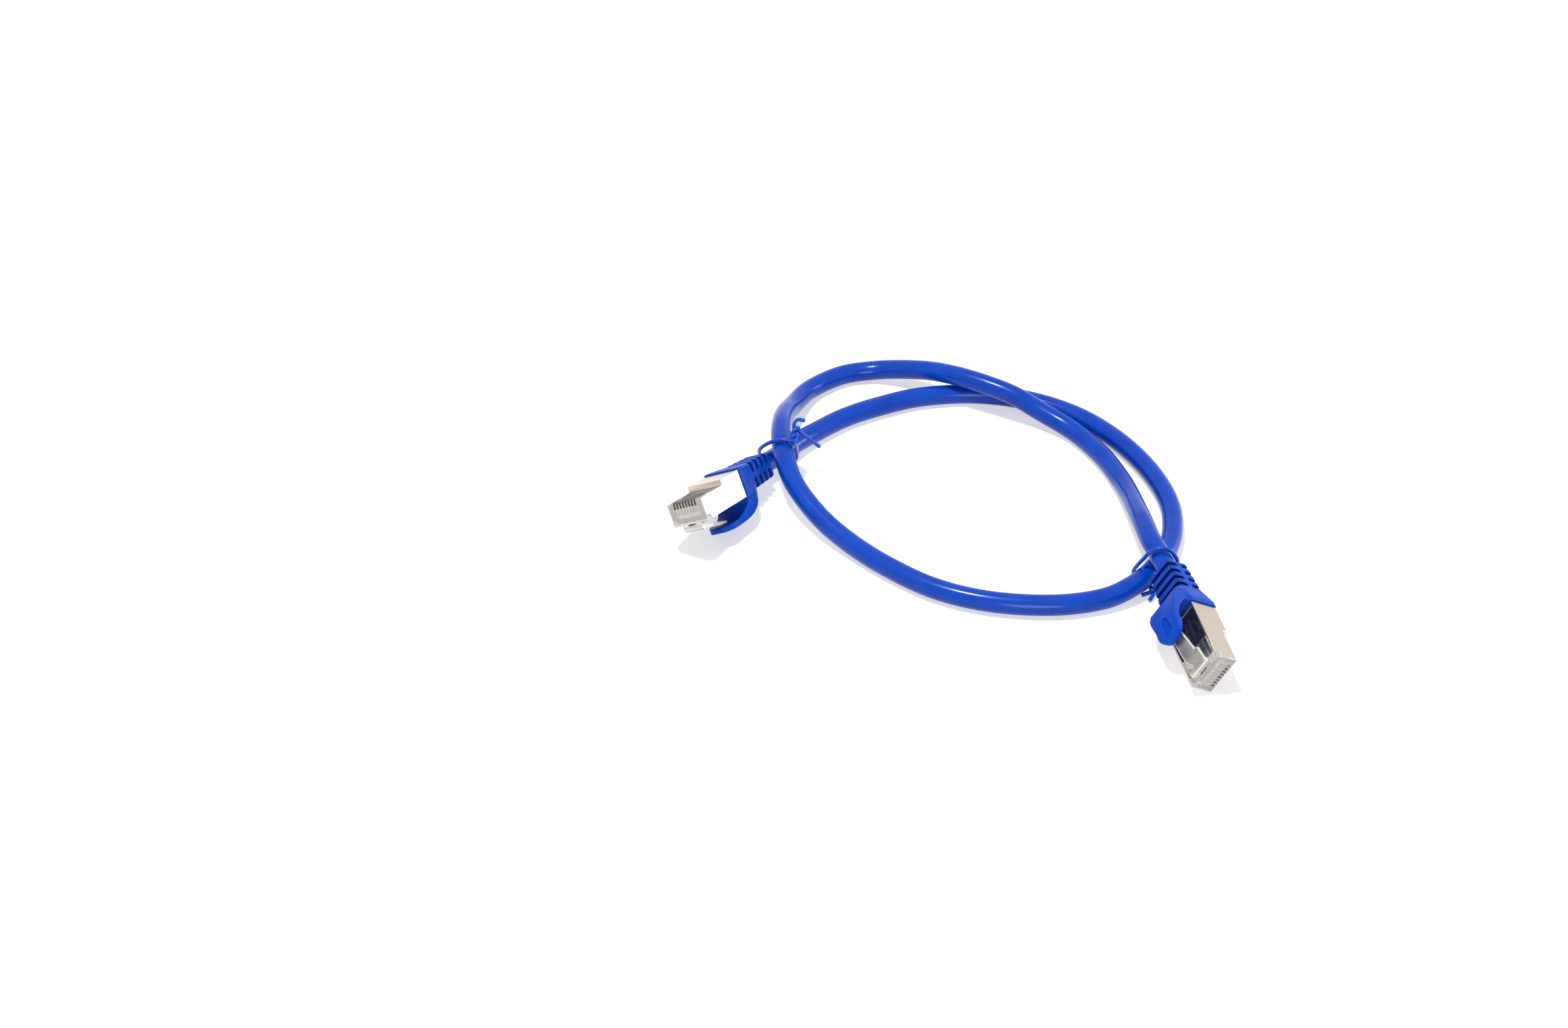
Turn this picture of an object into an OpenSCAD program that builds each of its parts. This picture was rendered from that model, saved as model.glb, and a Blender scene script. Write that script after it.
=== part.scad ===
// Shielded RJ45 patch cable, lying on a table in one and a half loose turns.
// Millimetres, +Z up, the table at Z = 0. Both ends carry the same plug:
// a clear plug body in a stamped shell, a moulded boot and a snagless latch cover.

/* [Cable] */
// Outside diameter of the cable jacket
cable_d = 5.8; // [5.2:0.1:6]
// Outside diameter of one insulated wire
wire_d = 0.92; // [0.8:0.02:0.98]
// Length of jacket that reaches past the rear of the plug body
jacket_in_plug = 4; // [2:0.5:6]
// Wall of the foil and braid that is folded back over the jacket
braid_t = 0.16; // [0.1:0.02:0.2]

/* [Plug body] */
// Width of the plug over its shell
plug_w = 11.7; // [11.5:0.1:11.9]
// Height of the nose, from the contact face to the latch face
nose_h = 6.6; // [6.4:0.1:6.8]
// Height of the rear of the plug
rear_h = 8.1; // [7.8:0.1:8.4]
// Length of the lower nose, from the front to the step
nose_l = 11.5; // [10:0.5:12.5]
// Length of the whole plug body
plug_l = 22.5; // [21.5:0.5:24]
// Thickness of the stamped shell
shell_t = 0.3; // [0.25:0.05:0.4]
// Distance of the latch face from the cable's axis
latch_face = 4; // [3.8:0.1:4.2]
// Distance between neighbouring contacts
contact_pitch = 1.016; // [1:0.004:1.03]
// Thickness of one contact blade
blade_t = 0.34; // [0.25:0.01:0.4]
// Width of the window that the latch passes in the shell
latch_window_w = 10.6; // [9.8:0.1:10.8]

/* [Latch] */
// Width of the latch at its root
latch_w = 6.3; // [5.8:0.1:6.6]
// Width of the latch at its tail
latch_tail_w = 3.2; // [2.8:0.1:3.8]
// Thickness of the latch
latch_t = 1.15; // [1:0.05:1.3]
// Length of the latch from its pivot to its tail
latch_l = 12.6; // [11.5:0.1:13]
// Angle at which the latch stands off the plug at rest
latch_rise = 12.5; // [12:0.5:13]

/* [Boot] */
// Length of the boot, from the cable end to its front lip
boot_l = 18; // [17:0.5:20]
// Width of the boot at the cable end
boot_rear_w = 8.6; // [8:0.1:9.4]
// Height of the boot at the cable end
boot_rear_h = 7.3; // [7:0.1:7.8]
// Wall of the boot's lip outside the shell
lip_t = 0.45; // [0.35:0.05:0.7]
// Number of grooves that make the boot bend
groove_n = 4; // [2:1:4]
// Distance from the cable end of the boot to the middle of the first groove
groove_first = 1.5; // [1.2:0.1:1.8]
// Distance between neighbouring grooves
groove_pitch = 2.75; // [2.2:0.05:2.75]
// Width of one groove
groove_w = 1.3; // [0.8:0.1:1.5]
// Depth of one groove
groove_depth = 0.9; // [0.5:0.05:1]
// Width of the spine that crosses the grooves on each narrow side
spine_w = 1.5; // [1:0.1:2]

/* [Latch cover] */
// Width of the cover's pad
pad_w = 8.6; // [8:0.1:9.2]
// Width of the cover at its root
cover_root_w = 11.2; // [10.6:0.1:11.6]
// Thickness of the pad
pad_t = 1.7; // [1.5:0.1:2]
// Length of the hollow in the pad
pad_slot_l = 5.6; // [4:0.2:6]
// Width of the hollow in the pad
pad_slot_w = 2.8; // [2.2:0.1:3.2]

/* [Twist ties] */
// Thickness of the coated wire of the twist ties
tie_d = 1.1; // [0.9:0.1:1.3]

/* [Hidden] */
NODES = [
    "cable_jacket", "twist_tie_a", "twist_tie_b",
    "boot_a", "latch_cover_a", "shield_shell_a", "plug_housing_a", "latch_a",
    "contacts_a", "load_bar_a", "shield_braid_a",
    "wire_white_orange_a", "wire_orange_a", "wire_white_green_a", "wire_blue_a",
    "wire_white_blue_a", "wire_green_a", "wire_white_brown_a", "wire_brown_a",
    "boot_b", "latch_cover_b", "shield_shell_b", "plug_housing_b", "latch_b",
    "contacts_b", "load_bar_b", "shield_braid_b",
    "wire_white_orange_b", "wire_orange_b", "wire_white_green_b", "wire_blue_b",
    "wire_white_blue_b", "wire_green_b", "wire_white_brown_b", "wire_brown_b"];
node = "all";

$fn = 48;
eps = 0.01;

// Where each plug lies: the middle of its boot's cable end, and its turn.
// The plug's own frame has +X towards the nose and +Z towards the latch.
ENDS = ["a", "b"];
plug_at = [[-48.9, 44.08, 6.72], [60.75, -8.22, 9.7]];
plug_turn = [[-150, -13, -121], [62, 5, -78]];

// Colours
JACKET_BLUE = "#0a4fd8";
BOOT_BLUE = "#1f5ae0";
NICKEL = "#c9c2b8";
CLEAR = "#e3e0d8";
GOLD = "#d9a93a";
BRAID = "#9fa3a8";
TIE_BLUE = "#1450d0";

// Stations along the plug and faces across it, in the plug's own frame
lip_overlap = 2;                            // the boot's lip laps the shell
plug_rear_x = boot_l - lip_overlap;
nose_x = plug_rear_x + plug_l;
step_x = nose_x - nose_l;
contact_face = latch_face - nose_h;         // contact side of the nose
rear_face = latch_face - rear_h;            // contact side of the rear
seat_gap = 0.02;                            // between pressed pieces
run_gap = 0.05;                             // between pieces that turn

// Shell
shell_front_x = nose_x - 0.35;
shell_notch_x = nose_x - 2.3;               // the shell's latch corners end here
shell_notch_h = 1.5;
latch_window_x = plug_rear_x + 3.5;         // rear edge of the latch window
crimp_l = 2.4;                              // crimp collar behind the shell
crimp_r = cable_d / 2 + braid_t + 0.06;
crimp_t = 0.25;

// Clear plug body
housing_w = plug_w - 2 * shell_t - 2 * seat_gap;
housing_top = latch_face - shell_t - seat_gap;
housing_low = rear_face + shell_t + seat_gap;
cavity_front_x = nose_x - 8.8;
cavity_h = cable_d + 2 * (braid_t + 0.12);  // round the folded braid
wire_row_z = 1.5;                           // the wires lie side by side here
wire_stop_x = nose_x - 1;
channel_gap = 0.04;
root_block_l = 2.05;
root_block_x = nose_x - 0.05 - root_block_l;
root_slit_h = 0.4;
root_slit_w = 2.6;

// Contacts
contact_n = 8;
blade_front_x = nose_x - 0.9;
blade_l = 5.2;
blade_top = contact_face + 0.45;            // below the contact face
blade_low = wire_row_z - wire_d / 2 - 0.03; // on the wires' insulation
slot_w = 0.62;
slot_l = 6.6;
slot_depth = 1.7;

// Load bar that holds the wires in a row
bar_x = cavity_front_x - 3.4;
bar_l = 3.2;
bar_h = 2.4;

// Latch
latch_pivot = [nose_x - 1, latch_face + 1.45];
latch_root_r = 0.75;
latch_clear = 0.65;                         // the seat is lower behind the pivot
latch_shoulder = 4.2;                       // from the pivot to the shoulder

// Boot
boot_mid_x = groove_first + (groove_n - 1) * groove_pitch + groove_w / 2 + 0.4;
boot_mid_w = 9.8;
boot_mid_h = 8;
boot_flare_x = boot_l - 1.6;
boot_lip_w = plug_w + 2 * lip_t;
boot_lip_top = latch_face + lip_t;
boot_lip_low = rear_face - lip_t;
boot_fit = 0.03;                            // round the jacket and the shell
panel_l = 4.6;                              // bare panel on the contact side
panel_w = 7.6;
panel_depth = 0.25;

// Latch cover: its round root in the boot's shoulder, its pad, the arch between
cover_root_r = 2;
cover_pivot = [boot_l - 2.4, latch_face + cover_root_r + 0.4];
pad_inner = latch_face + 4.75;              // inner face of the pad
pad_outer = pad_inner + pad_t;
pad_tip_x = boot_l + 11;
pad_from_x = boot_l + 5.5;                  // the arch ends, the pad begins
pad_slot_depth = 1;

// The cable on the table, from boot b's cable end to boot a's. It passes over
// itself three times: behind boot b, at the far side, and behind boot a.
route = [
    [57.5, 5, 10.7], [56.5, 14, 9.9], [56, 23, 7.7], [55.5, 33, 5], [54, 43, 3.3],
    [50, 55, 3], [43, 67, 3.1], [34, 74, 5.2], [26, 78, 8.2], [18, 82, 9.4],
    [10, 86.5, 9.4], [2.5, 91.5, 7.9], [-5.5, 96, 5.5], [-14.5, 98.5, 3.5],
    [-24.5, 96.5, 3], [-34, 88.5, 3.3], [-39, 78, 5], [-41.5, 68.5, 8.2],
    [-42.5, 59, 10.7], [-42.5, 50, 11.3], [-41, 40.5, 10.2], [-38, 32, 8],
    [-31.5, 22, 5.2], [-23.5, 13, 3.4], [-13.5, 3, 3], [-1, -6.5, 3],
    [13.5, -12, 3], [30, -13.5, 3], [43.5, -11, 3.1], [52, -6.5, 4],
    [58, 0, 4.2], [62.5, 8, 3.4], [66, 19.5, 3], [66.5, 33, 3],
    [62.5, 48.5, 3], [55, 63, 3], [44.5, 75, 3], [31, 83, 3],
    [15.5, 86.5, 3], [-0.5, 85, 3], [-13.5, 80, 3], [-24, 74, 3],
    [-32, 67, 3.1], [-38, 60.5, 3.7]];

// Each tie is one wire: a tail, the twist, the loop round both strands of the
// cable, the twist again on its other side, and the second tail
tie_twist = [[[-39.1, 46.3, 14], [-38.3, 50.4, 16]], [[58.9, -4.6, 1.7], [57.2, -6.6, 1.4]]];
tie_turns = [1.25, 0.75];
tie_twist_r = tie_d / 2 + 0.07;
tie_loop = [
    [[-41.8, 46, 14.9], [-44.6, 46.5, 14.1], [-47.2, 47.8, 11.8], [-48.7, 50, 8.6],
     [-48.6, 52.6, 5], [-46.8, 54, 2], [-44, 54.8, 0.85], [-41, 55, 0.65],
     [-38.6, 54, 2], [-38, 52.8, 5], [-38.1, 50.6, 8.5], [-38.3, 48.2, 11.5]],
    [[61.9, -4, 3], [63.9, -3.6, 6.6], [63.6, -3.3, 10.5], [61.6, -3.2, 13.4],
     [58.9, -3.3, 14.3], [56.4, -3, 12.9], [54.9, -2.2, 10], [53.7, -1.1, 7],
     [53, 0.2, 4], [53.3, 0.5, 1.6], [55, -1, 0.6], [57.2, -2.9, 0.7]]];
tie_tail = [
    [[[-37, 49.8, 14.8], [-34.4, 50.4, 12], [-31.6, 51.2, 8.8]],
     [[-38.7, 51.4, 17.1], [-37.6, 52.4, 17.4], [-35.8, 52.4, 17]]],
    [[[57, -8, 1], [56.4, -8.8, 0.7]], [[55.6, -6.2, 0.9], [54.6, -6.4, 0.7]]]];

// Draws its children where plug k lies
module at_plug(k) {
    translate(plug_at[k]) rotate(plug_turn[k]) children();
}

// Side outline in X and Z, w thick and centred on the plug's middle plane
module side_plate(points, w) {
    rotate([90, 0, 0]) translate([0, 0, -w / 2]) linear_extrude(w) polygon(points);
}

// Box from x0 to x1 and z0 to z1, w wide about the middle plane
module slab(x0, x1, z0, z1, w) {
    translate([x0, -w / 2, z0]) cube([x1 - x0, w, z1 - z0]);
}

// Thin plate across the plug at x, with rounded corners, for the boot's hulls
module section(x, w, z0, z1, r, t = 0.1) {
    translate([x, 0, (z0 + z1) / 2]) rotate([90, 0, 90])
        linear_extrude(t) rounded(w, z1 - z0, r);
}

// Rectangle with round corners, centred
module rounded(w, h, r) {
    hull() for (y = [-1, 1], z = [-1, 1])
        translate([y * (w / 2 - r), z * (h / 2 - r)]) circle(r, $fn = 24);
}

// ---- curves and swept tubes ----

// Point at t on the curve through p[1] and p[2] that heads from p[0] to p[3]
function through(p, t) = 0.5 * (2 * p[1] + (p[2] - p[0]) * t
    + (2 * p[0] - 5 * p[1] + 4 * p[2] - p[3]) * t * t
    + (3 * p[1] - p[0] - 3 * p[2] + p[3]) * t * t * t);

// Smooth curve through all the points, with per steps between neighbours
function smooth(pts, per) = let (n = len(pts))
    [for (i = [0 : n - 2], j = [0 : per - 1])
        through([pts[max(i - 1, 0)], pts[i], pts[i + 1], pts[min(i + 2, n - 1)]], j / per),
     pts[n - 1]];

// Point at t on the Bezier curve with the four control points c
function bezier(c, t) = c[0] * pow(1 - t, 3) + 3 * c[1] * t * pow(1 - t, 2)
    + 3 * c[2] * t * t * (1 - t) + c[3] * t * t * t;

function unit(v) = v / norm(v);
function heading(path, i) = unit(path[min(i + 1, len(path) - 1)] - path[max(i - 1, 0)]);

// One ring of the tube round c: t is the heading, side lies across it
function ring(c, t, side, r, n) = let (v = cross(t, side))
    [for (k = [0 : n - 1]) c + r * (cos(360 * k / n) * side + sin(360 * k / n) * v)];

// Turns side so that it stays square to the heading t
function squared(side, t) = unit(side - (side * t) * t);

// Directions across the path, carried along it without a twist
function carried(path) = [for (i = 0, s = squared([0.3, 0.2, 1], heading(path, 0));
    i < len(path); i = i + 1, s = i < len(path) ? squared(s, heading(path, i)) : s) s];

// Closed tube of n sides along path
module tube(path, d, n) {
    m = len(path);
    across = carried(path);
    points = [for (i = [0 : m - 1])
        each ring(path[i], heading(path, i), across[i], d / 2, n)];
    sides = [for (i = [0 : m - 2], k = [0 : n - 1])
        let (a = i * n + k, b = i * n + (k + 1) % n)
        each [[a, a + n, b], [b, a + n, b + n]]];
    first = [[for (k = [0 : n - 1]) k]];
    last = [[for (k = [n - 1 : -1 : 0]) (m - 1) * n + k]];
    polyhedron(points, concat(first, sides, last));
}

// ---- one plug, in its own frame ----

// Wires across the plug, in the order of the contacts
WIRES = ["white_orange", "orange", "white_green", "blue",
         "white_blue", "green", "white_brown", "brown"];
WIRE_COLOURS = ["#f2c79a", "#e8731a", "#b9dcb0", "#2050b8",
                "#a9c2ea", "#1f8a3c", "#c9b09a", "#6b3f22"];
function across(i) = (i - (contact_n - 1) / 2) * contact_pitch;

// A wire leaves the jacket in a ring of eight and comes to lie in the row
wire_ring_r = 1.85;
function wire_path(i) = let (
        a = 157.5 - 45 * floor(i / 2),
        y0 = wire_ring_r * cos(a), z0 = (i % 2 == 0 ? 1 : -1) * wire_ring_r * abs(sin(a)),
        x0 = plug_rear_x + jacket_in_plug + 0.05)
    [[x0, y0, z0], [x0 + 0.8, y0, z0], [x0 + 3, across(i), z0], [x0 + 3.8, across(i), z0],
     [bar_x - 0.8, across(i), wire_row_z], [bar_x, across(i), wire_row_z],
     [wire_stop_x, across(i), wire_row_z]];

module wire(i) {
    color(WIRE_COLOURS[i]) tube(wire_path(i), wire_d, 8);
}

module shield_braid() {
    color(BRAID) translate([plug_rear_x - crimp_l, 0, 0]) rotate([0, 90, 0]) difference() {
        cylinder(h = crimp_l + jacket_in_plug - 0.6, r = cable_d / 2 + 0.02 + braid_t);
        translate([0, 0, -1]) cylinder(h = crimp_l + jacket_in_plug + 1, r = cable_d / 2 + 0.02);
    }
}

module load_bar() {
    color(CLEAR) difference() {
        slab(bar_x, bar_x + bar_l, wire_row_z - bar_h / 2, wire_row_z + bar_h / 2, 9);
        slab(bar_x - 1, bar_x + bar_l + 1, wire_row_z - wire_d / 2 - channel_gap,
             wire_row_z + wire_d / 2 + channel_gap, across(7) - across(0) + wire_d + 0.1);
    }
}

// Gold blade with its two teeth on the wire
module blade() {
    tooth = blade_l / 4;
    side_plate([[blade_front_x, blade_top + 0.5], [blade_front_x - 0.5, blade_top],
        [blade_front_x - blade_l + 0.4, blade_top],
        [blade_front_x - blade_l, blade_top + 0.4],
        [blade_front_x - blade_l, blade_low - 0.9],
        [blade_front_x - blade_l + tooth * 0.5, blade_low],
        [blade_front_x - blade_l + tooth, blade_low - 0.9],
        [blade_front_x - blade_l + tooth * 2, blade_low - 0.9],
        [blade_front_x - blade_l + tooth * 2.5, blade_low],
        [blade_front_x - blade_l + tooth * 3, blade_low - 0.9],
        [blade_front_x, blade_low - 0.9]], blade_t);
}

module contacts() {
    color(GOLD) for (i = [0 : contact_n - 1]) translate([0, across(i), 0]) blade();
}

// Clear body: stepped block with the cable's cavity, the wire channel,
// the eight contact slots, and the seat that the latch pivots in
module plug_housing() {
    collar_x = shell_front_x + seat_gap;
    color(CLEAR, 0.5) difference() {
        union() {
            side_plate([[plug_rear_x, housing_low], [step_x - seat_gap, housing_low],
                [step_x - seat_gap, contact_face + shell_t + seat_gap],
                [step_x + shell_t + seat_gap, contact_face + shell_t + seat_gap],
                [step_x + shell_t + seat_gap, contact_face],
                [nose_x - 0.4, contact_face], [nose_x, contact_face + 0.4],
                [nose_x, latch_face - 0.3], [nose_x - 0.3, latch_face],
                [shell_notch_x + seat_gap, latch_face], [shell_notch_x + seat_gap, housing_top],
                [plug_rear_x, housing_top]], housing_w);
            side_plate([[collar_x, contact_face], [nose_x - 0.3, contact_face],
                [nose_x, contact_face + 0.3], [nose_x, latch_face - 0.3],
                [nose_x - 0.3, latch_face], [shell_notch_x + seat_gap, latch_face],
                [shell_notch_x + seat_gap, latch_face - shell_notch_h + seat_gap],
                [collar_x, latch_face - shell_notch_h + seat_gap]], plug_w);
            side_plate([[root_block_x, latch_face - 0.5],
                [root_block_x + root_block_l, latch_face - 0.5],
                [root_block_x + root_block_l, latch_pivot[1]],
                [latch_pivot[0], latch_pivot[1]],
                [latch_pivot[0], latch_pivot[1] - latch_clear],
                [root_block_x, latch_pivot[1] - latch_clear]], latch_w);
        }
        // cavity for the jacket, the wires and the load bar, lower past the step
        slab(plug_rear_x - 1, step_x - 0.6, -cavity_h / 2, cavity_h / 2, 9.2);
        slab(step_x - 1, cavity_front_x, contact_face + 0.8, cavity_h / 2, 9.2);
        slab(cavity_front_x - 1, wire_stop_x + 0.05, wire_row_z - wire_d / 2 - channel_gap,
             wire_row_z + wire_d / 2 + channel_gap, across(7) - across(0) + wire_d + 0.1);
        // contact slots, open to the front, and the slits under them
        for (i = [0 : contact_n - 1]) translate([0, across(i), 0]) {
            slab(nose_x - slot_l, nose_x + 1, contact_face - 1, contact_face + slot_depth, slot_w);
            slab(blade_front_x - blade_l - seat_gap, blade_front_x + seat_gap, contact_face,
                 wire_row_z, blade_t + 2 * seat_gap);
        }
        // seat and slit of the latch root
        translate([latch_pivot[0], 0, latch_pivot[1]]) rotate([90, 0, 0])
            cylinder(h = latch_w + 2, r = latch_root_r + run_gap, center = true);
        slab(root_block_x - 1, nose_x + 1, latch_face + eps, latch_face + root_slit_h,
             root_slit_w);
    }
}

// Stamped shell: stepped box with its latch window, its open nose,
// notched latch corners and a crimp collar round the braid
module shield_shell() {
    color(NICKEL) {
        difference() {
            side_plate([[plug_rear_x, rear_face], [step_x + shell_t, rear_face],
                [step_x + shell_t, contact_face], [shell_front_x, contact_face],
                [shell_front_x, latch_face], [plug_rear_x, latch_face]], plug_w);
            side_plate([[plug_rear_x - 1, rear_face + shell_t], [step_x, rear_face + shell_t],
                [step_x, contact_face + shell_t], [nose_x + 1, contact_face + shell_t],
                [nose_x + 1, latch_face - shell_t], [plug_rear_x - 1, latch_face - shell_t]],
                plug_w - 2 * shell_t);
            slab(step_x + shell_t, nose_x + 1, contact_face - 1, contact_face + shell_t + eps,
                 plug_w - 2 * shell_t);
            slab(latch_window_x, nose_x + 1, latch_face - shell_t - eps, latch_face + 1,
                 latch_window_w);
            slab(shell_notch_x, nose_x + 1, latch_face - shell_notch_h, latch_face + 1,
                 plug_w + 2);
        }
        // rear wall, open for the cable, and the crimp collar
        difference() {
            union() {
                slab(plug_rear_x - shell_t, plug_rear_x, rear_face, latch_face, plug_w);
                translate([plug_rear_x - crimp_l, 0, 0]) rotate([0, 90, 0])
                    cylinder(h = crimp_l, r = crimp_r + crimp_t);
            }
            translate([plug_rear_x - crimp_l - 1, 0, 0]) rotate([0, 90, 0])
                cylinder(h = crimp_l + 2, r = crimp_r);
        }
    }
}

// Latch lever, seen from the side at rest, about its pivot
module latch() {
    color(CLEAR, 0.6) translate([latch_pivot[0], 0, latch_pivot[1]]) {
        rotate([90, 0, 0]) cylinder(h = latch_w, r = latch_root_r, center = true);
        rotate([0, latch_rise, 0]) intersection() {
            side_plate([[0.5, latch_t / 2 - 0.15], [0.5, -latch_t / 2 + 0.2],
                [-1.4, -latch_t / 2 + 0.2], [-latch_shoulder, -latch_t / 2],
                [-latch_l, -latch_t / 2 + 0.25], [-latch_l - 0.3, -0.1], [-latch_l, 0.2],
                [-latch_l + 3, latch_t / 2], [-0.5, latch_t / 2]], latch_w);
            translate([0, 0, -latch_t]) linear_extrude(2 * latch_t) polygon([
                [1, latch_w / 2], [-latch_shoulder, latch_w / 2],
                [-latch_shoulder, latch_tail_w / 2 + 0.6], [-latch_l, latch_tail_w / 2],
                [-latch_l - 1, latch_tail_w / 2 - 0.4], [-latch_l - 1, -latch_tail_w / 2 + 0.4],
                [-latch_l, -latch_tail_w / 2], [-latch_shoulder, -latch_tail_w / 2 - 0.6],
                [-latch_shoulder, -latch_w / 2], [1, -latch_w / 2]]);
        }
    }
}

// Outside of the boot: tapered sleeve that flares to the lip round the shell
module boot_outside() {
    hull() {
        section(0, boot_rear_w, -boot_rear_h / 2, boot_rear_h / 2, 1.3);
        section(boot_mid_x, boot_mid_w, -boot_mid_h / 2, boot_mid_h / 2, 1.3);
    }
    hull() {
        section(boot_mid_x, boot_mid_w, -boot_mid_h / 2, boot_mid_h / 2, 1.3);
        section(boot_flare_x, boot_lip_w, boot_lip_low, boot_lip_top, 0.9);
        section(boot_l - 0.1, boot_lip_w, boot_lip_low, boot_lip_top, 0.9);
    }
    cover_shoulder();
}

// Shoulder on the latch side that rises to both sides of the cover's root
module cover_shoulder() {
    p = cover_pivot;
    heel = boot_mid_x + 0.3;
    intersection() {
        side_plate([[heel, 3.4], [heel, boot_mid_h / 2], [p[0] - 2.75, p[1] - 0.05],
            [p[0] - 1.8, p[1] - 0.02], [p[0], p[1] - 1], [p[0] + 1.2, p[1] - 1.4],
            [p[0] + 1.45, p[1] - 1.65], [boot_l - 0.05, boot_lip_top - 0.05],
            [boot_l - 0.05, 3.4]], cover_root_w);
        linear_extrude(pad_outer) polygon([[0, -boot_mid_w / 2], [heel, -boot_mid_w / 2 + 0.1],
            [heel + 2.2, -cover_root_w / 2], [boot_l, -cover_root_w / 2],
            [boot_l, cover_root_w / 2], [heel + 2.2, cover_root_w / 2],
            [heel, boot_mid_w / 2 - 0.1], [0, boot_mid_w / 2]]);
    }
}

// One groove: a ring cut round the boot, left whole at the two side spines
module groove(x) {
    k = x / boot_mid_x;
    w = boot_rear_w + k * (boot_mid_w - boot_rear_w) - 2 * groove_depth;
    h = boot_rear_h + k * (boot_mid_h - boot_rear_h) - 2 * groove_depth;
    translate([x - groove_w / 2, 0, 0]) rotate([90, 0, 90]) linear_extrude(groove_w)
        difference() {
            square([20, 20], center = true);
            rounded(w, h, 0.8);
            square([20, spine_w], center = true);
        }
}

module boot() {
    color(BOOT_BLUE) difference() {
        boot_outside();
        for (i = [0 : groove_n - 1]) groove(groove_first + i * groove_pitch);
        // bore for the jacket, the crimp collar and the shell
        translate([-1, 0, 0]) rotate([0, 90, 0]) cylinder(h = boot_l, r = cable_d / 2 + boot_fit);
        translate([plug_rear_x - crimp_l - 0.05, 0, 0]) rotate([0, 90, 0])
            cylinder(h = boot_l, r = crimp_r + crimp_t + boot_fit);
        slab(plug_rear_x - shell_t - boot_fit, boot_l + 1, rear_face - boot_fit,
             latch_face + boot_fit, plug_w + 2 * boot_fit);
        // seat of the cover's root
        translate([cover_pivot[0], 0, cover_pivot[1]]) rotate([90, 0, 0])
            cylinder(h = cover_root_w + 2 * run_gap, r = cover_root_r + run_gap, center = true);
        // bare panel on the contact side
        slab(boot_flare_x - panel_l, boot_flare_x - 0.3, -20, boot_lip_low + panel_depth,
             panel_w);
    }
}

// Side outline of the cover: outer curve, round tip, inner curve, middle of the root
function cover_outline() = let (
        p = cover_pivot, n = 8, tip = pad_tip_x - pad_t / 2, mid = pad_inner + pad_t / 2,
        outer = [p + [-2.55, 0.15], p + [-1, 2.2], [pad_from_x - 5.3, pad_outer - 0.25],
                 [pad_from_x, pad_outer]],
        inner = [p + cover_root_r * [0.76, -0.64], p + [3, 0.6],
                 [pad_from_x - 3.3, pad_inner - 0.25], [pad_from_x, pad_inner]])
    concat([for (i = [0 : n]) bezier(outer, i / n)],
           [for (a = [90 : -22.5 : -90]) [tip + pad_t / 2 * cos(a), mid + pad_t / 2 * sin(a)]],
           [for (i = [n : -1 : 0]) bezier(inner, i / n)], [p]);

// Plan of the cover: as wide as the boot at its root, then drawn in to the pad's round end
function cover_plan() = let (r = pad_w / 2, c = pad_tip_x - r, from = cover_pivot[0])
    concat([[from - 4, -cover_root_w / 2], [from + 1.4, -cover_root_w / 2],
            [pad_from_x - 1, -r]],
           [for (a = [-90 : 15 : 90]) [c + r * cos(a), r * sin(a)]],
           [[pad_from_x - 1, r], [from + 1.4, cover_root_w / 2],
            [from - 4, cover_root_w / 2]]);

module latch_cover() {
    slot_x = pad_tip_x - 2.6 - pad_slot_l;
    color(BOOT_BLUE) {
        translate([cover_pivot[0], 0, cover_pivot[1]]) rotate([90, 0, 0])
            cylinder(h = cover_root_w, r = cover_root_r, center = true);
        difference() {
            intersection() {
                side_plate(cover_outline(), cover_root_w);
                linear_extrude(pad_outer + 1) polygon(cover_plan());
            }
            // hollow with a wide round end towards the tip
            translate([0, 0, pad_outer - pad_slot_depth]) linear_extrude(pad_slot_depth + 1) {
                translate([slot_x + pad_slot_l - pad_slot_w / 2, 0]) circle(pad_slot_w / 2);
                translate([slot_x + pad_slot_w / 3, 0]) circle(pad_slot_w / 3);
                polygon([[slot_x + pad_slot_w / 3, -pad_slot_w / 3],
                         [slot_x + pad_slot_l - pad_slot_w / 2, -pad_slot_w / 2],
                         [slot_x + pad_slot_l - pad_slot_w / 2, pad_slot_w / 2],
                         [slot_x + pad_slot_w / 3, pad_slot_w / 3]]);
            }
        }
    }
}

// ---- the cable and its ties ----

// Heading of plug k and the point at x on its axis
function nose_dir(k) = let (t = plug_turn[k])
    [cos(t[2]) * cos(t[1]), sin(t[2]) * cos(t[1]), -sin(t[1])];
function on_axis(k, x) = plug_at[k] + x * nose_dir(k);

jacket_end_x = plug_rear_x + jacket_in_plug;
cable_path = smooth(concat(
    [on_axis(1, jacket_end_x), on_axis(1, -4), on_axis(1, -8)], route,
    [on_axis(0, -9), on_axis(0, -4), on_axis(0, jacket_end_x)]), 2);

module cable_jacket() {
    color(JACKET_BLUE) tube(cable_path, cable_d, 12);
}

function reversed(p) = [for (i = [len(p) - 1 : -1 : 0]) p[i]];

// One strand of a twist from p to q
function strand(p, q, turns, start) = let (
        t = unit(q - p), u = unit(cross([0, 0, 1], t)), v = cross(t, u), n = ceil(turns * 6))
    [for (i = [0 : n]) let (a = start + 360 * turns * i / n)
        p + (q - p) * i / n + tie_twist_r * (cos(a) * u + sin(a) * v)];

module twist_tie(k) {
    p = tie_twist[k][0];
    q = tie_twist[k][1];
    color(TIE_BLUE) tube(smooth(concat(
        reversed(tie_tail[k][0]), reversed(strand(p, q, tie_turns[k], 90)), tie_loop[k],
        strand(p, q, tie_turns[k], 270), tie_tail[k][1]), 2), tie_d, 6);
}

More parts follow.
